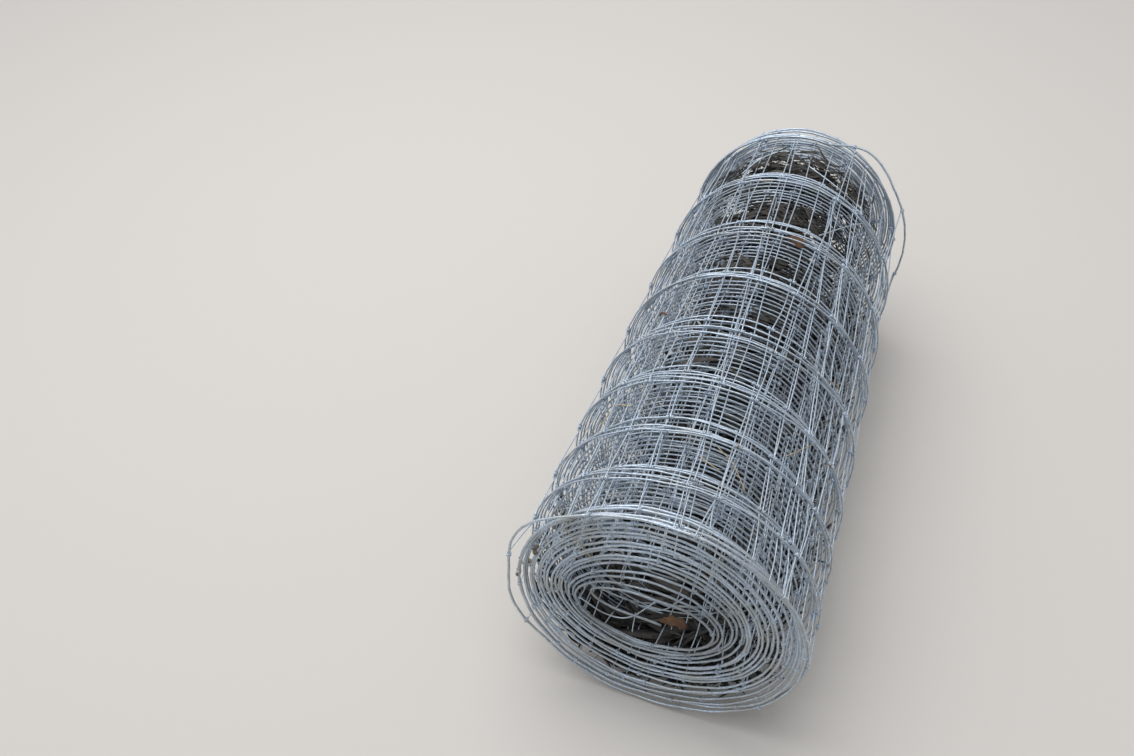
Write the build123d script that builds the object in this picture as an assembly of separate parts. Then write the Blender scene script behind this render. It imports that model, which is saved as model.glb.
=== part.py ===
from build123d import *
import os

# A used roll of woven field fence, lying on its side. Lengths are in
# millimetres and angles in degrees. +Y runs along the roll from its near end
# to its far end, +Z is up, and the origin is on the ground under the middle.

# The fence: its width over the two edge wires, and the gauges of its wires
fence_width = 981.4
edge_wire = 3.4
line_wire = 2.5

# The roll: how many times the fence is wound, its outside and its bore
turns = 20
roll_radius = 198.5
bore_radius = 65

# The turns have slid along one another: how far the turn that has slid the
# furthest lies past the innermost one, how many turns lie outside it, and how
# far back from it the outermost one lies
slide = 71
turns_outside = 4
slide_back = 40

# Two lengths of the outermost turn's edge wires that have sprung out: how
# far they reach past the roll and lean towards the near end, how near to the
# roll their ends lie, and their angles round it, measured down from its top
strand_reach = 30
strand_lean = 25
strand_gap = 0.3
strand_angles = (20, 66, 112)
strand_sides = 6

roll_length = fence_width + slide
near_end = -roll_length / 2
turn_pitch = (roll_radius - bore_radius) / turns
furthest_turn = turns - 1 - turns_outside
outer_turn_start = near_end + slide - slide_back
outer_turn_end = outer_turn_start + fence_width


def turn_start(turn):
    """Where a turn's near edge lies. The innermost turn is number 0."""
    if turn <= furthest_turn:
        return near_end + slide * turn / furthest_turn
    return near_end + slide - slide_back * (turn - furthest_turn) / turns_outside


def end_outline(across):
    """The ends of the turns, from the bore outwards, this far across the fence
    from its near edge: a flat ring for each turn, with a step to the next."""
    points = []
    for turn in range(turns):
        ring = turn_start(turn) + across
        points.append((bore_radius + turn * turn_pitch, ring))
        points.append((bore_radius + (turn + 1) * turn_pitch, ring))
    return points


def fence_roll():
    """The wound turns as one turned solid: a stepped outline at each end, with
    the barrel between them and the bore inside."""
    outline = end_outline(0) + end_outline(fence_width)[::-1]
    profile = make_face(Polyline(outline, close=True))
    return Pos(0, 0, roll_radius) * revolve(profile, Axis.Y, 360)


def round_the_roll(radius, angle, along):
    """The point at this radius and angle from the roll's axis."""
    spoke = Vector(0, 0, radius).rotate(Axis.Y, angle)
    return spoke + Vector(0, along, roll_radius)


def strand(side, along):
    """A sprung wire: one arc that leaves its edge of the outermost turn, stands
    off it and comes back to it. Its side is 1 towards +X and -1 towards -X."""
    seated = roll_radius + strand_gap + line_wire / 2
    standing = roll_radius + strand_reach - line_wire / 2
    start, middle, end = [side * angle for angle in strand_angles]
    path = ThreePointArc(
        round_the_roll(seated, start, along),
        round_the_roll(standing, middle, along - strand_lean),
        round_the_roll(seated, end, along),
    )
    section = RegularPolygon(line_wire / 2, strand_sides)
    return sweep(Plane(origin=path @ 0, z_dir=path % 0) * section, path=path)


os.makedirs("parts", exist_ok=True)
export_step(fence_roll(), "parts/fence_roll.step")
export_step(strand(1, outer_turn_end - edge_wire / 2), "parts/far_strand.step")
export_step(strand(-1, outer_turn_start + edge_wire / 2), "parts/near_strand.step")
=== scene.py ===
import math

import bmesh
import bpy
import numpy as np
from mathutils import Matrix, Vector


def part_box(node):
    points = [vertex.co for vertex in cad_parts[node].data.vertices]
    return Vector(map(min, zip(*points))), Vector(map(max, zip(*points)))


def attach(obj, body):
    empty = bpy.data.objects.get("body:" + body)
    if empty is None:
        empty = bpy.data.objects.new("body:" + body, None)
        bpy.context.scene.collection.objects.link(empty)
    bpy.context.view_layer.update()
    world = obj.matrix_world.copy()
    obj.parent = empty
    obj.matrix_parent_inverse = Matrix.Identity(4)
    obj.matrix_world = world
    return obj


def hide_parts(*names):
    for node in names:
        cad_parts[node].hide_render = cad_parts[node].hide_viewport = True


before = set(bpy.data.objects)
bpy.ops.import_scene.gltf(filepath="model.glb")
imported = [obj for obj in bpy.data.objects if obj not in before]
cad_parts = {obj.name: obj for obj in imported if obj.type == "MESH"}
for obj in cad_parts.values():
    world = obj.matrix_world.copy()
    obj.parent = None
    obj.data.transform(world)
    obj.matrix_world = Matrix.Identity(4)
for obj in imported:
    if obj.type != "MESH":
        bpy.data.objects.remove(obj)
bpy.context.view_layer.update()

# The winding. The fence was rolled up by hand from its inner end, so its turns lie a little loose
# and its bore has sagged to an oval. At the top the turns have slid along one another.
# It goes round clockwise as seen from the near end, and angles are measured down from its top,
# positive towards the right.
roll_low, roll_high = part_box("fence_roll")
near_end = roll_low.y
far_end = roll_high.y
axis_height = (roll_low.z + roll_high.z) / 2
roll_radius = (roll_high.z - roll_low.z) / 2
turns = 19.77
outer_end_angle = math.radians(118)

# The diameters of the line wires, the stays and the edge wires, how high their knots stand, and
# what is left free between the outermost knots and the outside of the roll
line_wire = 0.0027
stay_wire = 0.0021
edge_wire = 0.0040
knot_height = line_wire / 2 + stay_wire
edge_knot_height = edge_wire / 2 + stay_wire
spare_room = 0.0006
outer_turn_radius = roll_radius - knot_height - spare_room

# The oval bore: where its middle lies beside and above the roll's axis, and half its width and
# height
bore_middle = np.array([-0.015, 0.0045])
bore_half_sizes = np.array([0.098, 0.061])

# How far the turns' edges lie from the roll's two ends at its top, in millimetres, for turns that
# have this many turns outside them. The fifth one in has slid the furthest along. Away from the
# top the slide fades, and at the bottom the edges lie almost level.
turns_outside = np.array([-0.33, 0, 4, 5, 10, 15, 16, 17, 18, 19, 20])
near_set_back = np.array([28, 31, 71, 54, 45, 35, 29, 23, 15, 8, 4]) / 1000
far_set_back = np.array([43, 40, 0, 13, 28, 43, 48, 53, 59, 64, 67]) / 1000
bottom_set_back = 0.013
slide_fading = 1.5

# At the top the outer turns are packed closer together than the ones round the bore, and much
# closer at the far end than at the near one: how far out these turns lie, as a share of the way
# from the bore to the outermost turn
packed_turns_outside = np.array([-0.33, 4, 5, 15, 19, 20])
packed_near = np.array([1, 0.88, 0.82, 0.25, 0.01, -0.03])
packed_far = np.array([1, 0.92, 0.88, 0.62, 0.01, -0.03])

# The outer turns bulge at both sides: on the right all along the roll, though less at its far
# end, and on the left only above the middle, fading away towards the far end
right_bulge = 0.025
right_bulge_lost = 0.7
right_bulge_fading = 3
left_bulge = 0.0405
left_bulge_fading = 0.7

# At the bottom the outer turns hang down to the floor: how much further out they lie there, as a
# share of the same way, and how closely that keeps to the bottom and to the outermost turns
hang = 0.055
hang_to_bottom = 4
hang_to_outside = 6

# Away from the top the turns lie unevenly: how far each has wandered along the roll and out of
# its round, at places a third of a turn apart. The outer turns have been pulled straighter.
rng = np.random.default_rng(18)
wander_turns = np.arange(0, 21, 1 / 3)
wander_along = 0.014
wander_out = 0.008
wandered_along = rng.uniform(0, wander_along, len(wander_turns))
wandered_along *= np.interp(wander_turns, [12, 17], [1, 0])
wandered_out = rng.normal(0, wander_out, len(wander_turns))
wandered_out *= np.interp(wander_turns, [17, 19], [1, 0.3])

# The inner end is bent away from the bore's wall and crosses the bore's mouth: how many turns of
# it, how far it reaches as a share of the way to the roll's axis, and its angle and curve
bent_turns = 0.27
bent_reach = 1.1
bent_angle = math.radians(24)
bent_curve = 1.25


def bore_radius(angle):
    """How far the oval bore reaches from the roll's axis at this angle: the root of the quadratic
    that puts the point on the oval."""
    way = np.stack([np.sin(angle), np.cos(angle)], -1)
    squeeze = 1 / bore_half_sizes**2
    a = (way * way * squeeze).sum(-1)
    b = (way * bore_middle * squeeze).sum(-1)
    c = (bore_middle * bore_middle * squeeze).sum() - 1
    return (b + np.sqrt(b * b - a * c)) / a


def angle_of(turn):
    """The angle round the roll that a turn has come to. The bent inner end goes little round."""
    lag = (bent_turns - np.minimum(turn, bent_turns)) * 2 * np.pi
    wound = outer_end_angle + 2 * np.pi * (np.maximum(turn, bent_turns) - turns)
    return wound - bent_angle * (1 - np.exp(-lag / bent_angle))


def in_the_roll(turn, across, sideways=0.0, outwards=0.0):
    """Points of the fence. turn counts from the inner end, and across runs from 0 at the near
    edge to 1 at the far one. sideways and outwards are what a wire is out of place, in metres.
    Inside, share is how far out from the bore to the outermost turn a point lies."""
    angle = angle_of(turn)
    at_top = (1 + np.cos(angle)) / 2
    side = np.sin(angle)
    even = turn / turns
    outside = turns - outer_end_angle / (2 * np.pi) - turn
    packed = np.interp(outside, packed_turns_outside, packed_near) * (1 - across)
    packed = packed + np.interp(outside, packed_turns_outside, packed_far) * across
    share = even + (packed - even) * at_top
    share = share + np.interp(turn, wander_turns, wandered_out) * (1 - at_top)
    share = share + hang * (1 - at_top) ** hang_to_bottom * even**hang_to_outside
    share = np.minimum(share, 1)
    on_left = left_bulge * at_top * np.clip(1 - across, 0, 1) ** left_bulge_fading
    lost = right_bulge_lost * np.clip(across, 0, 1) ** right_bulge_fading
    bulge = np.where(side > 0, right_bulge * (1 - lost), on_left)
    outer = outer_turn_radius + bulge * side * side
    bore = bore_radius(angle)
    bent = bent_reach * np.clip(1 - turn / bent_turns, 0, 1) ** bent_curve
    radius = (bore + (outer - bore) * share) * (1 - bent) + outwards
    at_bottom = bottom_set_back * (1 - even) + np.interp(turn, wander_turns, wandered_along)
    slide = near_set_back.max()
    near = np.interp(outside, turns_outside, near_set_back)
    near = at_bottom + (near - at_bottom) * at_top**slide_fading
    far = np.interp(outside, turns_outside, far_set_back)
    far = slide - at_bottom + (far - slide + at_bottom) * at_top**slide_fading
    near = near_end + edge_knot_height + near
    far = far_end - edge_knot_height - far
    y = near + (far - near) * across + sideways
    return np.stack([radius * np.sin(angle), y, axis_height + radius * np.cos(angle)], -1)


# The length of the fence, measured along its middle in steps of about 0.6 mm
fine_steps = 30000
turn_steps = np.linspace(0, turns, fine_steps)
middle_line = in_the_roll(turn_steps, 0.5)
step_lengths = np.linalg.norm(np.diff(middle_line, axis=0), axis=1)
length_at_steps = np.concatenate([[0], np.cumsum(step_lengths)])
fence_length = length_at_steps[-1]


def turn_at(distance):
    """The turn that a distance along the fence from its inner end falls on."""
    return np.interp(distance, length_at_steps, turn_steps)


# The line wires: nine hard-drawn galvanised wires that run the whole length of the fence, closer
# together towards one edge, with a thicker one at each edge. They bend a little at every knot.
# Their spacings are in inches, and only say how the fence's width is shared out.
line_wire_spacings = np.array([3, 3.5, 4, 4.5, 5, 5.5, 6, 7])
line_wire_places = np.concatenate([[0], np.cumsum(line_wire_spacings)]) / line_wire_spacings.sum()
line_wires = len(line_wire_places)
gauges = np.full(line_wires, line_wire)
gauges[[0, -1]] = edge_wire
stay_spacing = 0.152
past_last_stay = 0.0625
last_stay = fence_length - past_last_stay
stays = int(last_stay / stay_spacing)
first_stay = last_stay - (stays - 1) * stay_spacing
stay_turns = turn_at(first_stay + stay_spacing * np.arange(stays))


def drifting(spread, per_turn, values):
    """At each stay, a value that drifts about 0 through random ones, this many to a turn. values
    is how many of them are drawn, enough for all the turns."""
    return np.interp(stay_turns, np.arange(values) / per_turn, rng.normal(0, spread, values))


# How far each wire strays along the roll from its place, at each of its knots: at random, with a
# drift, and in waves that come round again in each turn. The loose turns stray the most.
loose_turns = np.interp(stay_turns, [0, 4, 14, 16, turns], [1.0, 0.3, 0.3, 1.3, 1.9])
stray = 0.0013
stray_drift = 0.0024
stray_wave = 0.0022
whole_wave = 6.3
wave_shift = 0.12
edge_stray = 0.8
sideways_at_knots = rng.normal(0, stray, (line_wires, stays)) * loose_turns
for wire in range(line_wires):
    sideways_at_knots[wire] += drifting(stray_drift, per_turn=2, values=43) * loose_turns
    for waves in (1, 2, 3, 5):
        phase = rng.uniform(0, whole_wave) + rng.normal(0, wave_shift) * stay_turns
        sideways_at_knots[wire] += stray_wave / waves * np.sin(waves * angle_of(stay_turns) + phase)
sideways_at_knots[0] = np.abs(sideways_at_knots[0]) * edge_stray
sideways_at_knots[-1] = -np.abs(sideways_at_knots[-1]) * edge_stray

# How far each wire has crept towards the far end at the top, in millimetres: in the outermost
# turn, and what is added to that in the turn that has slid the furthest
crept = np.array([0, 9, 12, 11, 13, 22, 22, 19, 0]) / 1000
crept_furthest = np.array([0, 0, 4, 10, 11, 5, 3, 4, 0]) / 1000
at_top_of_roll = (1 + np.cos(angle_of(stay_turns))) / 2
creeping = np.interp(stay_turns, [0, 4.4, 15.4, turns], [0.4, 0.6, 0.95, 1])
near_furthest = np.interp(stay_turns, [8, 15.4, 19.4], [0, 1, 0])
sideways_at_knots += crept[:, None] * creeping * at_top_of_roll
sideways_at_knots += crept_furthest[:, None] * near_furthest * at_top_of_roll

# How far each wire stands out of its turn, or sinks into it, at each of its knots. The near edge
# wire sinks the most. The limits keep them all within the roll.
stand_out = 0.0005
stand_out_limits = (-0.0012, 0.0004)
near_edge_sunk = 0.0010
near_edge_stand_out = 0.0022
near_edge_limits = (-0.005, 0.0004)
outwards_at_knots = np.clip(rng.normal(0, stand_out, (line_wires, stays)), *stand_out_limits)
near_edge_at_knots = rng.normal(-near_edge_sunk, near_edge_stand_out, stays)
outwards_at_knots[0] = np.clip(near_edge_at_knots, *near_edge_limits)

# How far each knot has shifted along its line wire. A stay leans as its two knots shift apart,
# a whole line of stays lies askew, and over a few turns the lines lie closer or further apart.
knot_shift = 0.0022
knot_drift = 0.005
skew_drift = 0.026
skew_stray = 0.006
line_shift = 0.040
line_shift_rate = 1.4
line_shift_start = 1.4
lean_at_knots = rng.normal(0, knot_shift, (line_wires, stays))
for wire in range(line_wires):
    lean_at_knots[wire] += drifting(knot_drift, per_turn=4, values=85)
lean_at_knots = np.cumsum(lean_at_knots, axis=0)
skew = drifting(skew_drift, per_turn=2, values=42) + rng.normal(0, skew_stray, stays)
lean_at_knots += np.linspace(-0.5, 0.5, line_wires)[:, None] * skew
lean_at_knots += line_shift * np.sin(line_shift_rate * stay_turns + line_shift_start)


def smoothly(values, share):
    """The value this share of the way from the second to the third of four values, on a smooth
    line through them all."""
    before, start, stop, after = values
    rise_in = (stop - before) / 2
    rise_out = (after - start) / 2
    turn_in = 3 * (stop - start) - 2 * rise_in - rise_out
    turn_out = 2 * (start - stop) + rise_in + rise_out
    return start + share * (rise_in + share * (turn_in + share * turn_out))


def between_knots(knot_values, distance):
    """Values that pass smoothly through the ones given at a wire's knots."""
    place = (distance - first_stay) / stay_spacing
    before = np.clip(np.floor(place).astype(int), 0, stays - 2)
    around = [knot_values[np.clip(before + k, 0, stays - 1)] for k in (-1, 0, 1, 2)]
    return smoothly(around, np.clip(place - before, 0, 1))


# Two stretches of the outermost turn's edge wires have sprung out of the roll. The near one bows
# out twice, and is pulled towards the near end. For each bow and for the pull: how far, the angle
# of its middle, and the angle from there to where it ends.
near_strand_angles = np.array([-128, -32])
near_upper_bow = (0.019, -62, 30)
near_lower_bow = (0.010, -100, 28)
near_pull = (-0.006, -80, 48)
near_loose_turns = 0.75

# The far one comes to stand out over its first quarter, and further out over its last seventh. It
# is first pulled towards the far end, and then hangs back along the roll.
far_strand_angles = np.array([12, 118])
far_stand_out = 0.0185
far_stand_out_share = 0.25
far_flick = 0.014
far_flick_share = 0.14
far_pull = 0.020
far_pull_share = 0.4
far_hang = 0.028
far_hang_curve = 1.5
far_loose_turns = 0.5


def eased(share):
    """A share from 0 to 1 that starts and stops gently."""
    share = np.clip(share, 0, 1)
    return share * share * (3 - 2 * share)


def bowed(angle, height, middle, half_width):
    """A smooth bow with this height, from one side of its middle to the other."""
    return height * np.cos(np.pi / 2 * np.clip((angle - middle) / half_width, -1, 1)) ** 2


def near_edge_sprung(turn):
    """How far the near edge wire stands out of the roll, and is pulled along it."""
    angle = np.degrees(angle_of(turn))
    loose = turn > turns - near_loose_turns
    out = bowed(angle, *near_upper_bow) + bowed(angle, *near_lower_bow)
    return loose * out, loose * bowed(angle, *near_pull)


def far_edge_sprung(turn):
    """How far the far edge wire stands out of the roll, and is pulled along it."""
    angle = np.degrees(angle_of(turn))
    first, last = far_strand_angles
    share = np.clip((angle - first) / (last - first), 0, 1) * (turn > turns - far_loose_turns)
    out = far_stand_out * eased(share / far_stand_out_share)
    out = out + far_flick * eased((share - 1 + far_flick_share) / far_flick_share)
    pulled = far_pull * np.sin(np.pi * np.minimum(share / far_pull_share, 1))
    return out, pulled - far_hang * share**far_hang_curve


# Between its knots a line wire also waves a little: how far, and how long its waves are
wave_inwards = 0.0005
wave_inwards_length = 0.061
wave_sideways = 0.0006
wave_sideways_length = 0.083


def line_wire_points(wire, distance):
    """The middle of a line wire at these distances along the fence."""
    turn = turn_at(distance)
    sideways = between_knots(sideways_at_knots[wire], distance)
    outwards = between_knots(outwards_at_knots[wire], distance)
    waved = np.sin(2 * np.pi * distance / wave_inwards_length + wire) ** 2
    outwards = outwards - wave_inwards * waved
    waved = np.sin(2 * np.pi * distance / wave_sideways_length + 2 * wire)
    sideways = sideways + wave_sideways * waved
    if wire == 0:
        out, along = near_edge_sprung(turn)
        return in_the_roll(turn, 0.0, sideways + along, outwards + out)
    if wire == line_wires - 1:
        out, along = far_edge_sprung(turn)
        return in_the_roll(turn, 1.0, sideways + along, outwards + out)
    return in_the_roll(turn, line_wire_places[wire], sideways, outwards)


def wire_mesh(name, paths, beside, diameter, sides=6, depth=0.0):
    """A mesh of round wires, one along each path. beside is a direction that no path takes, and
    depth is how deep in the roll each point lies, from 0 in the outermost turn to 1 at the bore.
    Each wire also has a tone of its own, which shows on the straws and not on the zinc."""
    along = np.gradient(paths, axis=1)
    along /= np.linalg.norm(along, axis=2, keepdims=True)
    first = beside - along * (beside * along).sum(2, keepdims=True)
    first /= np.linalg.norm(first, axis=2, keepdims=True)
    second = np.cross(along, first)
    round_it = np.linspace(0, 2 * np.pi, sides, endpoint=False)[:, None]
    rim = np.cos(round_it) * first[:, :, None] + np.sin(round_it) * second[:, :, None]
    rings = paths[:, :, None] + rim * diameter / 2
    corner = np.arange(rings.size // 3).reshape(rings.shape[:3])
    beside_it = np.roll(corner, -1, axis=2)
    skin = [corner[:, :-1], beside_it[:, :-1], beside_it[:, 1:], corner[:, 1:]]
    skin = np.stack(skin, -1).reshape(-1, 4)
    cut_ends = np.concatenate([corner[:, 0, ::-1], corner[:, -1]])
    mesh = bpy.data.meshes.new(name)
    mesh.from_pydata(rings.reshape(-1, 3).tolist(), [], skin.tolist() + cut_ends.tolist())
    smooth = np.arange(len(skin) + len(cut_ends)) < len(skin)
    mesh.polygons.foreach_set("use_smooth", smooth)
    point_values(mesh, "tone", np.repeat(rng.random(len(paths)), rings[0].size // 3))
    depth = np.broadcast_to(depth, paths.shape[:2])
    point_values(mesh, "depth_in_roll", np.repeat(depth.ravel(), sides))
    piece = bpy.data.objects.new(name, mesh)
    bpy.context.scene.collection.objects.link(piece)
    return piece


def point_values(mesh, name, values):
    """Gives each point of a mesh a value that its material can read by this name."""
    attribute = mesh.attributes.new(name, "FLOAT", "POINT")
    attribute.data.foreach_set("value", values.astype(np.float32))


# Weathered zinc is a dull blue-grey skin with paler, smoother spangle, and part of its blue is a
# painted reflection of a blue sky. Dust has dulled it in patches, most of all on the near end, where
# the added dust is also a painted reflection of the ground. The inner turns are darkened towards
# the bore as painted shade.
zinc_dull_with_sky_reflection = (0.42, 0.485, 0.56, 1)
zinc_pale_with_sky_reflection = (0.64, 0.73, 0.83, 1)
zinc_dust_and_ground_reflection = (0.46, 0.46, 0.42, 1)
zinc_painted_shade = (0.10, 0.105, 0.10, 1)
zinc_metallic = 0.7
zinc_roughness = (0.60, 0.38)
spangle_scale = 260
spangle_detail = 3
spangle_edges = (0.32, 0.68)
spangle_relief = 0.0003
spangle_relief_strength = 0.15
dust_scale = 22
dust_detail = 4
dust_and_reflection_edges = (0.5, 0.75)
most_dust_and_reflection = 0.6
# How much more of the beige coat the near end gets: dust, and a painted reflection of the ground
near_ground_reflection_places = (-0.40, -0.50)
near_ground_reflection_added = 0.08
# The painted shade deep in the roll: the depths where it starts and is fullest, and how much of it
painted_shade_depths = (0.6, 1.0)
most_painted_shade = 0.5


def fading(nodes, low_high, most):
    """A node that goes from 0 to most as its value passes from the low to the high one."""
    node = nodes.new("ShaderNodeMapRange")
    node.inputs["From Min"].default_value = low_high[0]
    node.inputs["From Max"].default_value = low_high[1]
    node.inputs["To Max"].default_value = most
    return node


def mottled(nodes, link, scale, detail):
    """A node of soft blotches that stay in place on their piece."""
    place = nodes.new("ShaderNodeTexCoord")
    node = nodes.new("ShaderNodeTexNoise")
    node.inputs["Scale"].default_value = scale
    node.inputs["Detail"].default_value = detail
    link(place.outputs["Object"], node.inputs["Vector"])
    return node


def coated(nodes, colour):
    """A node that covers a colour with this one."""
    node = nodes.new("ShaderNodeMix")
    node.data_type = "RGBA"
    node.inputs["B"].default_value = colour
    return node


def roughened(nodes, link, height, shader, strength, distance):
    """Gives a material fine relief that follows a height, this strong and this deep."""
    bump = nodes.new("ShaderNodeBump")
    bump.inputs["Strength"].default_value = strength
    bump.inputs["Distance"].default_value = distance
    link(height, bump.inputs["Height"])
    link(bump.outputs["Normal"], shader.inputs["Normal"])


def galvanised(name):
    """The zinc: spangle first, partly blue as a painted sky reflection, then the dust with its
    painted ground reflection at the near end, and the painted shade of the inner turns that cover
    it.
    """
    material = bpy.data.materials.new(name)
    material.use_nodes = True
    nodes = material.node_tree.nodes
    link = material.node_tree.links.new
    shader = nodes["Principled BSDF"]
    shader.inputs["Metallic"].default_value = zinc_metallic

    spangle = mottled(nodes, link, spangle_scale, spangle_detail)
    # The spangle's blue-grey is the zinc's own colour, with part of the blue a painted sky
    # reflection
    zinc = nodes.new("ShaderNodeValToRGB")
    for end, position, colour in zip((0, 1), spangle_edges, (zinc_dull_with_sky_reflection, zinc_pale_with_sky_reflection)):
        zinc.color_ramp.elements[end].position = position
        zinc.color_ramp.elements[end].color = colour
    link(spangle.outputs["Fac"], zinc.inputs["Fac"])

    dust = mottled(nodes, link, dust_scale, dust_detail)
    place = nodes.new("ShaderNodeTexCoord")
    parts = nodes.new("ShaderNodeSeparateXYZ")
    link(place.outputs["Object"], parts.inputs["Vector"])
    # The near end's extra beige coat is dust and a painted reflection of the ground
    near_ground_reflection = fading(nodes, near_ground_reflection_places, near_ground_reflection_added)
    link(parts.outputs["Y"], near_ground_reflection.inputs["Value"])
    dust_and_ground_reflection = nodes.new("ShaderNodeMath")
    link(dust.outputs["Fac"], dust_and_ground_reflection.inputs[0])
    link(near_ground_reflection.outputs["Result"], dust_and_ground_reflection.inputs[1])
    dust_and_reflection_share = fading(nodes, dust_and_reflection_edges, most_dust_and_reflection)
    link(dust_and_ground_reflection.outputs["Value"], dust_and_reflection_share.inputs["Value"])
    dust_and_reflection_coat = coated(nodes, zinc_dust_and_ground_reflection)
    link(dust_and_reflection_share.outputs["Result"], dust_and_reflection_coat.inputs["Factor"])
    link(zinc.outputs["Color"], dust_and_reflection_coat.inputs["A"])

    # Painted shade: the inner turns are darkened towards the bore
    depth = nodes.new("ShaderNodeAttribute")
    depth.attribute_name = "depth_in_roll"
    painted_shade_share = fading(nodes, painted_shade_depths, most_painted_shade)
    link(depth.outputs["Fac"], painted_shade_share.inputs["Value"])
    painted_shade_coat = coated(nodes, zinc_painted_shade)
    link(painted_shade_share.outputs["Result"], painted_shade_coat.inputs["Factor"])
    link(dust_and_reflection_coat.outputs["Result"], painted_shade_coat.inputs["A"])
    link(painted_shade_coat.outputs["Result"], shader.inputs["Base Color"])

    worn = nodes.new("ShaderNodeMapRange")
    worn.inputs["To Min"].default_value = zinc_roughness[0]
    worn.inputs["To Max"].default_value = zinc_roughness[1]
    link(spangle.outputs["Fac"], worn.inputs["Value"])
    link(worn.outputs["Result"], shader.inputs["Roughness"])
    roughened(nodes, link, spangle.outputs["Fac"], shader, spangle_relief_strength, spangle_relief)
    return material


zinc_wire = galvanised("weathered_zinc_with_painted_light")


def fence_piece(piece, node):
    """Finishes a piece of the fence in zinc and puts it in the roll in place of its CAD node."""
    piece.data.materials.append(zinc_wire)
    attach(piece, "root")
    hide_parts(node)


def outer_turn_at(angle):
    """The place in the outermost turn, in turns from the inner end, that is at this angle."""
    return turns + (angle - outer_end_angle) / (2 * np.pi)


# Each line wire is one piece, but for the edge wires, whose sprung stretches are pieces of their
# own. A wire's round is made of straight lengths this short.
roll_direction = np.array([0.0, 1.0, 0.0])
straight_length = 0.0085
near_loose = outer_turn_at(np.radians(near_strand_angles))
far_loose = outer_turn_at(np.radians(far_strand_angles))
edge_runs = {
    0: [
        (0, near_loose[0], "near_edge_wire", "fence_roll"),
        (near_loose[0], near_loose[1], "near_strand_wire", "near_strand"),
        (near_loose[1], turns, "near_edge_wire_end", "fence_roll"),
    ],
    line_wires - 1: [
        (0, far_loose[0], "far_edge_wire", "fence_roll"),
        (far_loose[0], far_loose[1], "far_strand_wire", "far_strand"),
    ],
}
for wire in range(line_wires):
    whole_wire = [(0, turns, f"line_wire_{wire + 1}", "fence_roll")]
    for first, last, name, node in edge_runs.get(wire, whole_wire):
        start, stop = np.interp([first, last], turn_steps, length_at_steps)
        distance = np.linspace(start, stop, round((stop - start) / straight_length))
        path = line_wire_points(wire, distance)
        depth = 1 - turn_at(distance) / turns
        piece = wire_mesh(name, path[None], roll_direction, gauges[wire], depth=depth[None])
        fence_piece(piece, node)


# The stays: short cross wires, each from one line wire to the next, whose ends are wrapped twice
# round the line wires as hinge joints. The two stays that meet at a line wire are wrapped side by
# side. Each has been knocked a little out of straight, along the fence and out of its turn.
wraps = 2
wrap_pitch = 0.0023
first_wrap = 0.0013
wrap_steps = 8
span_steps = 8
wrap_angles = np.pi / 2 + 2 * np.pi * np.linspace(0, wraps, wraps * wrap_steps + 1)
end_margin = 0.01
line_wire_step = 0.002
stay_bow = 0.0014
stay_hump = 0.0008
stay_hump_limits = (-0.0015, 0.0008)


def knot_distance(wire, stay):
    """How far along the fence a stay's knot on a line wire is."""
    return first_stay + stay_spacing * stay + lean_at_knots[wire, stay]


def knot(wire, stay):
    """A knot's middle on its line wire, kept clear of the fence's ends, and the line wire's
    direction there."""
    distance = np.clip(knot_distance(wire, stay), end_margin, fence_length - end_margin)
    middle = line_wire_points(wire, distance)
    along = line_wire_points(wire, distance + line_wire_step)
    along = along - line_wire_points(wire, distance - line_wire_step)
    return middle, along / np.linalg.norm(along, axis=-1, keepdims=True)


def wrapped_end(wire, middle, along, away, onwards):
    """A stay's end, from where it reaches the line wire to where it was cut off. away is the way
    to the stay's other end, and its wraps go onwards along the line wire, or back where it's -1."""
    outwards = np.cross(along, away)
    wrap_radius = (gauges[wire] + stay_wire) / 2
    angle = wrap_angles[None, :, None]
    circle = np.cos(angle) * away[:, None] + np.sin(angle) * outwards[:, None]
    advance = first_wrap + (angle - np.pi / 2) / (2 * np.pi) * wrap_pitch
    return middle[:, None] + wrap_radius * circle + onwards * advance * along[:, None]


every_stay = np.arange(stays)
stay_depth = (1 - stay_turns / turns)[:, None]
for row in range(line_wires - 1):
    near_knot, near_along = knot(row, every_stay)
    far_knot, far_along = knot(row + 1, every_stay)
    away = far_knot - near_knot
    away /= np.linalg.norm(away, axis=1, keepdims=True)
    near_wrap = wrapped_end(row, near_knot, near_along, away, 1)
    far_wrap = wrapped_end(row + 1, far_knot, far_along, -away, -1)
    share = np.linspace(0, 1, span_steps + 1)[None, 1:-1, None]
    span = near_wrap[:, :1] * (1 - share) + far_wrap[:, :1] * share
    bow = rng.normal(0, stay_bow, (stays, 1, 1)) * near_along[:, None]
    hump = np.clip(rng.normal(0, stay_hump, (stays, 1, 1)), *stay_hump_limits)
    bow = bow + hump * np.cross(near_along, away)[:, None]
    span = span + bow * np.sin(np.pi * share)
    paths = np.concatenate([near_wrap[:, ::-1], span, far_wrap], axis=1)
    line_direction = (near_along + far_along)[:, None] / 2
    stay_row = wire_mesh(f"stays_{row + 1}", paths, line_direction, stay_wire, depth=stay_depth)
    fence_piece(stay_row, "fence_roll")


# Dead grass, leaves and dirt. Nearly black blades between the turns, most of them low down, and a
# thin layer of dark leaves in the bore are painted shade: dark things put where the roll's inside
# lies only in shade. Brown leaves and soil have lodged in the bore and on the wires. Each leaf or
# blade is thin, curled, folded, crumpled and torn along its sides, and none of it reaches down to
# the floor.
leaf_width = 0.55
leaf_curls = (-0.7, 0.7)
leaf_thickness = 0.0005
leaf_tilt = 0.2
leaf_fold = 0.7
leaf_torn = (0.6, 1.1)
leaf_crumple = 1 / 18
lowest_leaf = 0.003


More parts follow.
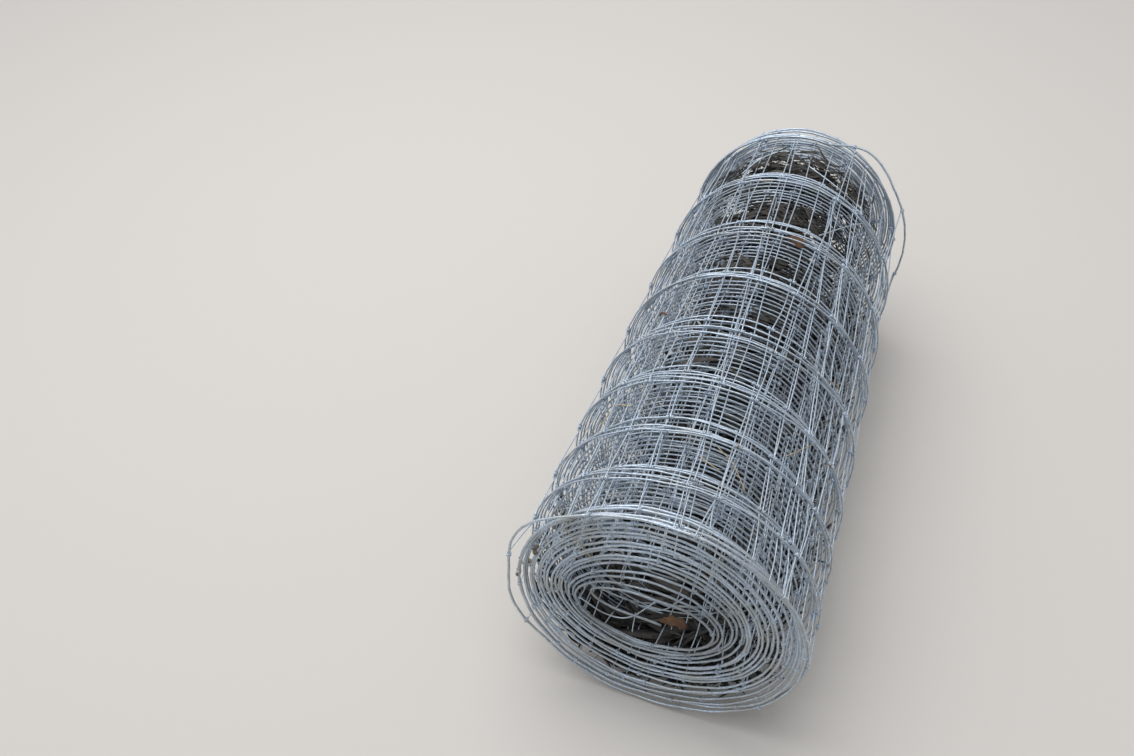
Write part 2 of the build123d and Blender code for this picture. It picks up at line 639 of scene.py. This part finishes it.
def leaf_litter(name, middles, sizes, colours, facing, widthwise, width=leaf_width,
                curls=leaf_curls, rows=9, columns=5, tip=0.2):
    """A mesh of ragged leaves, each with a top, an underside and a rim between them. Each lies
    across its facing direction, with its width as near as it can be to widthwise. width is a
    share of its length, and tip is a share of that width."""
    along, aside = np.meshgrid(np.linspace(-1, 1, rows), np.linspace(-1, 1, columns), indexing="ij")
    taper = np.sqrt(1 + tip * tip - along * along)
    along, aside = along.ravel(), (aside * taper).ravel()
    points = []
    for number, (middle, size) in enumerate(zip(middles, sizes)):
        blade_axes = np.array([rng.normal(0, 1, 3), widthwise[number], facing[number]])
        blade_axes[2] += rng.normal(0, leaf_tilt, 3)
        blade_axes = np.linalg.qr(blade_axes[::-1].T)[0].T[::-1]
        curl = rng.uniform(*curls)
        fold, twist = rng.uniform(-leaf_fold, leaf_fold, 2) * width / leaf_width
        torn = aside * np.repeat(rng.uniform(*leaf_torn, rows), columns)
        lift = curl * along**2 / 2 + fold * aside**2 / 2 + twist * along * aside / 2
        blade = np.stack([along, width * torn, lift], -1)
        blade += rng.normal(0, width * leaf_crumple, blade.shape)
        for side in (0.5, -0.5):
            sheet = blade * size / 2 + np.array([0, 0, side * leaf_thickness])
            sheet = middle + sheet @ blade_axes
            sheet[:, 2] = np.maximum(sheet[:, 2], lowest_leaf)
            points.append(sheet)
    grid = np.arange(rows * columns).reshape(rows, columns)
    cells = np.stack([grid[:-1, :-1], grid[1:, :-1], grid[1:, 1:], grid[:-1, 1:]], -1).reshape(-1, 4)
    rim = np.concatenate([grid[:, 0], grid[-1, 1:], grid[-2::-1, -1], grid[0, -2:0:-1]])
    next_rim = np.roll(rim, -1)
    sides = np.stack([rim, rim + grid.size, next_rim + grid.size, next_rim], -1)
    leaf_faces = np.concatenate([cells, cells[:, ::-1] + grid.size, sides])
    every_leaf = 2 * grid.size * np.arange(len(middles))[:, None, None]
    faces = (leaf_faces + every_leaf).reshape(-1, 4)
    tones = np.repeat(rng.random(len(middles)), 2 * grid.size)
    litter_piece(name, np.concatenate(points), faces, tones, colours)


def litter_piece(name, points, faces, tones, colours):
    """A piece of loose leaves or crumbs, with its own tone for each of its points."""
    mesh = bpy.data.meshes.new(name)
    mesh.from_pydata(points.tolist(), [], faces.tolist())
    mesh.polygons.foreach_set("use_smooth", np.ones(len(mesh.polygons), bool))
    point_values(mesh, "tone", tones)
    piece = bpy.data.objects.new(name, mesh)
    bpy.context.scene.collection.objects.link(piece)
    piece.data.materials.append(dead_leaf(name, *colours))
    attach(piece, "root")


# Dead plant matter and soil are dull and blotched all through, and roughened by their blotches
dead_roughness = 0.85
blotch_scale = 120
blotch_detail = 4
blotch_relief = 0.001
blotch_relief_strength = 0.4
palest_from = 0.6


def dead_leaf(name, dark, pale):
    """The material: each leaf, stalk or crumb has its own tone between these two colours."""
    material = bpy.data.materials.new(name)
    material.use_nodes = True
    nodes = material.node_tree.nodes
    link = material.node_tree.links.new
    shader = nodes["Principled BSDF"]
    shader.inputs["Roughness"].default_value = dead_roughness
    tone = nodes.new("ShaderNodeAttribute")
    tone.attribute_name = "tone"
    blotch = mottled(nodes, link, blotch_scale, blotch_detail)
    both = nodes.new("ShaderNodeMath")
    both.operation = "MULTIPLY"
    link(tone.outputs["Fac"], both.inputs[0])
    link(blotch.outputs["Fac"], both.inputs[1])
    ramp = nodes.new("ShaderNodeValToRGB")
    ramp.color_ramp.elements[0].color = (*dark, 1)
    ramp.color_ramp.elements[1].color = (*pale, 1)
    ramp.color_ramp.elements[1].position = palest_from
    link(both.outputs["Value"], ramp.inputs["Fac"])
    link(ramp.outputs["Color"], shader.inputs["Base Color"])
    roughened(nodes, link, blotch.outputs["Fac"], shader, blotch_relief_strength, blotch_relief)
    return material


# The dark grass, painted shade: long, narrow, nearly black blades that stand for the shade between
# the turns, curled to the round of their turn and lying just outside its wires
# Painted shade: the near-black colours of the dark grass and of the leaves in the bore
shade_dark = [(0.015, 0.015, 0.014), (0.085, 0.077, 0.065)]
grass_width = 0.13
grass_curls = (-0.55, -0.2)
grass_rows = 5
grass_columns = 2
grass_outside = 0.002
grass_askew = 0.35
first_grass_turn = 0.3
last_grass_turn = turns - 0.6


def shade_dark_grass(name, count, sizes, between_turns, angles, across, thinning):
    """Nearly black blades as painted shade, rolled up between these turns and lying round with them,
    thickest in the middle of its angles. With a thinning below 1 they grow thinner towards the near
    end."""
    wanted = np.radians(rng.triangular(angles[0], sum(angles) / 2, angles[1], count))
    lap = (rng.uniform(*between_turns, count) - wanted / (2 * np.pi)).round()
    turn = outer_turn_at(wanted) + lap - round(turns)
    turn = np.clip(turn, first_grass_turn, last_grass_turn)
    places_across = across[0] + (across[1] - across[0]) * rng.random(count) ** thinning
    middles = in_the_roll(turn, places_across, 0.0, grass_outside)
    angle = angle_of(turn)
    facing = np.stack([np.sin(angle), 0 * angle, np.cos(angle)], -1)
    widthwise = roll_direction + rng.normal(0, grass_askew, (count, 3))
    lengths = rng.uniform(*sizes, count)
    leaf_litter(name, middles, lengths, shade_dark, facing, widthwise, grass_width, grass_curls,
                grass_rows, grass_columns)


# Where it lies: the number of blades and their lengths, the turns and the angles that it lies
# between, its places across the fence, and its thinning
grass_places = {
    "shade_dark_grass_low": (2300, (0.045, 0.100), (4, 15.6), (104, 256), (0.03, 0.97), 1),
    "shade_dark_grass_near": (1100, (0.025, 0.050), (15.6, 18.5), (140, 276), (0.03, 0.20), 1),
    "shade_dark_grass_right": (1000, (0.030, 0.060), (15, 18.4), (104, 165), (0.03, 0.96), 1),
    "shade_dark_grass_far": (900, (0.040, 0.080), (2.5, 8), (-72, 72), (0.30, 0.955), 0.35),
    "shade_dark_grass_end": (260, (0.030, 0.055), (8, 14.5), (-70, 70), (0.87, 0.955), 1),
}
for name, where in grass_places.items():
    shade_dark_grass(name, *where)

# Nearly black leaves on the floor of the bore, painted shade, as a thin layer that has sunk in among
# the inner turns
bore_leaves = 60
bore_leaf_height = 0.125
bore_leaf_sizes = (0.02, 0.04)
bore_leaf_turns = (0.5, 1.5)
bore_leaf_across = (0.12, 0.95)
bore_turns = rng.uniform(*bore_leaf_turns, bore_leaves)
bore_places = in_the_roll(bore_turns, rng.uniform(*bore_leaf_across, bore_leaves))
bore_places[:, 2] = bore_leaf_height
bore_widthwise = rng.normal(0, 1, (bore_leaves, 3))
bore_facing = np.tile([0.0, 0.0, 1.0], (bore_leaves, 1))
bore_sizes = rng.uniform(*bore_leaf_sizes, bore_leaves)
leaf_litter("shade_dark_leaves_bore", bore_places, bore_sizes, shade_dark, bore_facing, bore_widthwise,
            rows=3, columns=3, tip=0.5)


def on_the_roll(angle, y, radius):
    """A point on the roll, at this angle and radius and this far along from its middle."""
    angle = math.radians(angle)
    return (radius * math.sin(angle), y, axis_height + radius * math.cos(angle))


# Four brown leaves: one under the outer wires at the top, one in the mouth of the bore and two
# small ones at the sides. For each its place, the way it faces, the way that its width lies, and
# its length
brown = [(0.040, 0.017, 0.009), (0.15, 0.078, 0.040)]
brown_leaves = [
    (on_the_roll(12.3, 0.170, 0.188), (0.2, 0, 1), (0.2, 1, 0), 0.034),
    ((0.022, -0.466, 0.152), (0.1, -0.3, 1), (-0.2, 1, 0), 0.042),
    (on_the_roll(-46, -0.02, 0.188), (-0.7, 0, 0.7), (0, 1, 0.3), 0.018),
    (on_the_roll(60, 0.30, 0.186), (0.8, 0, 0.5), (0, 1, -0.4), 0.020),
]
brown_places, brown_facing, brown_widthwise, brown_sizes = zip(*brown_leaves)
leaf_litter("brown_leaves", brown_places, brown_sizes, brown, brown_facing, brown_widthwise)


def smooth_path(points, steps):
    """A smooth line through these points."""
    points = np.array(points)
    ends = np.concatenate([2 * points[:1] - points[1:2], points, 2 * points[-1:] - points[-2:-1]])
    place = np.linspace(0, len(points) - 1, steps)
    before = np.minimum(place.astype(int), len(points) - 2)
    return smoothly([ends[before + k] for k in range(4)], (place - before)[:, None])


# Odd lengths of wire: seven bits broken off stays, and as thin as the stays. Three lie slantwise
# over the outer wires towards the far end, each given by its angle, its place along the roll and
# its radius there. Four lie across the mouth of the bore, given as points.
path_steps = 24
across_paths = np.array([0.35, 0.2, 0.9])
outer_bits = [
    [(-29, 0.357, 0.1950), (-21, 0.395, 0.1966), (-12.6, 0.421, 0.1945)],
    [(5.7, 0.3885, 0.1945), (25, 0.357, 0.1966), (44, 0.354, 0.195)],
    [(22.5, 0.208, 0.1945), (34, 0.268, 0.1968), (44, 0.320, 0.195)],
]
bore_bits = [
    [(-0.095, -0.500, 0.235), (-0.045, -0.470, 0.178), (-0.012, -0.445, 0.150)],
    [
        (-0.112, -0.500, 0.195),
        (-0.075, -0.492, 0.160),
        (-0.040, -0.488, 0.163),
        (-0.006, -0.475, 0.202),
    ],
    [(0.035, -0.490, 0.252), (0.005, -0.478, 0.190), (-0.035, -0.465, 0.165)],
    [(-0.060, -0.455, 0.255), (-0.050, -0.435, 0.190), (-0.030, -0.425, 0.150)],
]
odd_wires = [[on_the_roll(*place) for place in bit] for bit in outer_bits] + bore_bits
odd_paths = np.array([smooth_path(points, path_steps) for points in odd_wires])
fence_piece(wire_mesh("odd_wires", odd_paths, across_paths, stay_wire), "fence_roll")

# Dry grass stalks: seven pale straws. One lies across the turns' edges at the near end's upper
# left, a little off them. Six are stuck in the outer wires, given as the odd wires there are.
straw_width = 0.0014
straw_colours = [(0.40, 0.31, 0.18), (0.66, 0.55, 0.36)]
edge_straw_angle = -48
edge_straw_turns = outer_turn_at(math.radians(edge_straw_angle)) - np.arange(4, 14)
edge_straw_off = 0.0045
outer_straws = [
    [(54, -0.205, 0.197), (47, -0.235, 0.201), (38, -0.280, 0.1955)],
    [(9, -0.329, 0.1955), (17, -0.350, 0.1975), (25, -0.379, 0.195)],
    [(3.3, -0.354, 0.195), (7, -0.363, 0.1968), (12.7, -0.367, 0.195)],
    [(-16, 0.323, 0.195), (-12, 0.318, 0.1965), (-8, 0.325, 0.195)],
    [(62, -0.09, 0.196), (55, -0.075, 0.201), (47, -0.088, 0.196)],
    [(-52, -0.28, 0.196), (-45, -0.255, 0.200), (-36, -0.262, 0.196)],
]
straws = [in_the_roll(edge_straw_turns, 0.0, -edge_straw_off)]
straws += [[on_the_roll(*place) for place in straw] for straw in outer_straws]
straw_paths = np.array([smooth_path(points, path_steps) for points in straws])
straw_piece = wire_mesh("straws", straw_paths, across_paths, straw_width, sides=5)
straw_piece.data.materials.append(dead_leaf("dry_straw", *straw_colours))
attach(straw_piece, "root")

# Crumbs of dry soil, each a lumpy ball. Some are stuck among the outer turns' edges at the near
# end's left side, and smaller ones sit on knots of the outer turns: the last stays' knots on the
# six line wires at the near end.
soil = [(0.13, 0.11, 0.08), (0.40, 0.345, 0.26)]
edge_crumbs = 16
edge_crumb_sizes = (0.0018, 0.0042)
edge_crumb_angles = (48, 88)
edge_crumb_turns = (0.4, 6.4)
edge_crumb_across = 0.015
edge_crumb_outwards = 0.003
knot_crumbs = 60
knot_crumb_sizes = (0.0018, 0.0032)
crumby_stays = 30
crumby_wires = 6
crumb_lumps = 0.2
crumb_stretch = (0.6, 1.2)
edge_turns = outer_turn_at(-np.radians(rng.uniform(*edge_crumb_angles, edge_crumbs)))
edge_turns -= rng.uniform(*edge_crumb_turns, edge_crumbs).round()
edge_across = rng.uniform(0, edge_crumb_across, edge_crumbs)
edge_outwards = rng.uniform(-edge_crumb_outwards, edge_crumb_outwards, edge_crumbs)
crumb_middles = list(in_the_roll(edge_turns, edge_across, 0.0, edge_outwards))
crumb_sizes = list(rng.uniform(*edge_crumb_sizes, edge_crumbs))
for _ in range(knot_crumbs):
    stay = rng.integers(stays - crumby_stays, stays)
    wire = rng.integers(0, crumby_wires)
    crumb_middles.append(line_wire_points(wire, knot_distance(wire, stay)))
    crumb_sizes.append(rng.uniform(*knot_crumb_sizes))
ball = bmesh.new()
bmesh.ops.create_icosphere(ball, subdivisions=2, radius=1)
ball_points = np.array([point.co[:] for point in ball.verts])
ball_faces = np.array([[point.index for point in face.verts] for face in ball.faces])
ball.free()
crumb_points = []
for middle, size in zip(crumb_middles, crumb_sizes):
    lumpy = ball_points * (1 + rng.normal(0, crumb_lumps, (len(ball_points), 1)))
    crumb_points.append(middle + lumpy * size * rng.uniform(*crumb_stretch, 3))
crumb_points = np.concatenate(crumb_points)
every_crumb = len(ball_points) * np.arange(len(crumb_middles))[:, None, None]
crumb_faces = (ball_faces + every_crumb).reshape(-1, 3)
crumb_tones = np.repeat(rng.random(len(crumb_middles)), len(ball_points))
litter_piece("soil_crumbs", crumb_points, crumb_faces, crumb_tones, soil)


# The floor: one plain pale sheet, wide enough to reach the horizon
floor_half = 30
floor_colour = (0.60, 0.57, 0.53, 1)
floor_roughness = 0.9
floor_corners = [
    (-floor_half, -floor_half, 0),
    (floor_half, -floor_half, 0),
    (floor_half, floor_half, 0),
    (-floor_half, floor_half, 0),
]
floor_mesh = bpy.data.meshes.new("floor")
floor_mesh.from_pydata(floor_corners, [], [(0, 1, 2, 3)])
floor = bpy.data.objects.new("floor", floor_mesh)
bpy.context.scene.collection.objects.link(floor)
pale = bpy.data.materials.new("pale_floor")
pale.use_nodes = True
pale_shader = pale.node_tree.nodes["Principled BSDF"]
pale_shader.inputs["Base Color"].default_value = floor_colour
pale_shader.inputs["Roughness"].default_value = floor_roughness
floor.data.materials.append(pale)

# The soft studio light: a sky that is brightest overhead and darker towards the right, where the
# photograph's light is weaker too, and a large round lamp above the roll
sky_low = (0.31, 0.315, 0.32, 1)
sky_middle = (0.36, 0.37, 0.39, 1)
sky_high = (1.22, 1.25, 1.30, 1)
sky_middle_height = 0.5
sky_towards_right = -0.36
sky_strength = 1.0
world = bpy.data.worlds.new("studio")
world.use_nodes = True
sky_nodes = world.node_tree.nodes
sky_link = world.node_tree.links.new
sky_place = sky_nodes.new("ShaderNodeTexCoord")
sky_parts = sky_nodes.new("ShaderNodeSeparateXYZ")
sky_link(sky_place.outputs["Generated"], sky_parts.inputs["Vector"])
sky_ramp = sky_nodes.new("ShaderNodeValToRGB")
sky_ramp.color_ramp.elements[0].color = sky_low
sky_ramp.color_ramp.elements[1].color = sky_high
sky_ramp.color_ramp.elements.new(sky_middle_height).color = sky_middle
sky_height = sky_nodes.new("ShaderNodeMath")
sky_height.operation = "MULTIPLY_ADD"
sky_height.inputs[1].default_value = sky_towards_right
sky_link(sky_parts.outputs["X"], sky_height.inputs[0])
sky_link(sky_parts.outputs["Z"], sky_height.inputs[2])
sky_link(sky_height.outputs["Value"], sky_ramp.inputs["Fac"])
sky_link(sky_ramp.outputs["Color"], sky_nodes["Background"].inputs["Color"])
sky_nodes["Background"].inputs["Strength"].default_value = sky_strength
bpy.context.scene.world = world

lamp_place = Vector((-0.9, 0.5, 3.0))
lamp_target = Vector((0, 0, 0.2))
lamp_width = 3.2
lamp_watts = 55
lamp_data = bpy.data.lights.new("softbox", "AREA")
lamp_data.shape = "DISK"
lamp_data.size = lamp_width
lamp_data.energy = lamp_watts
lamp = bpy.data.objects.new("softbox", lamp_data)
lamp.location = lamp_place
lamp.rotation_euler = (lamp_target - lamp_place).to_track_quat("-Z", "Y").to_euler()
bpy.context.scene.collection.objects.link(lamp)

# The camera stands where the photograph was taken, with its angle of view and its slight roll
camera_place = Vector((0.1796, -1.3471, 1.5368))
camera_forward = Vector((-0.2418, 0.6646, -0.7070)).normalized()
camera_roll = -0.00929
camera_lens = 34.92
camera_sensor = 36
level = camera_forward.cross(Vector((0, 0, 1))).normalized()
upright = level.cross(camera_forward)
right = math.cos(camera_roll) * level + math.sin(camera_roll) * upright
up = math.cos(camera_roll) * upright - math.sin(camera_roll) * level
camera_turn = Matrix((right, up, -camera_forward)).transposed().to_4x4()
camera_data = bpy.data.cameras.new("camera")
camera_data.lens = camera_lens
camera_data.sensor_width = camera_sensor
camera = bpy.data.objects.new("camera", camera_data)
camera.matrix_world = Matrix.Translation(camera_place) @ camera_turn
bpy.context.scene.collection.objects.link(camera)
bpy.context.scene.camera = camera
bpy.context.scene.view_settings.view_transform = "Standard"
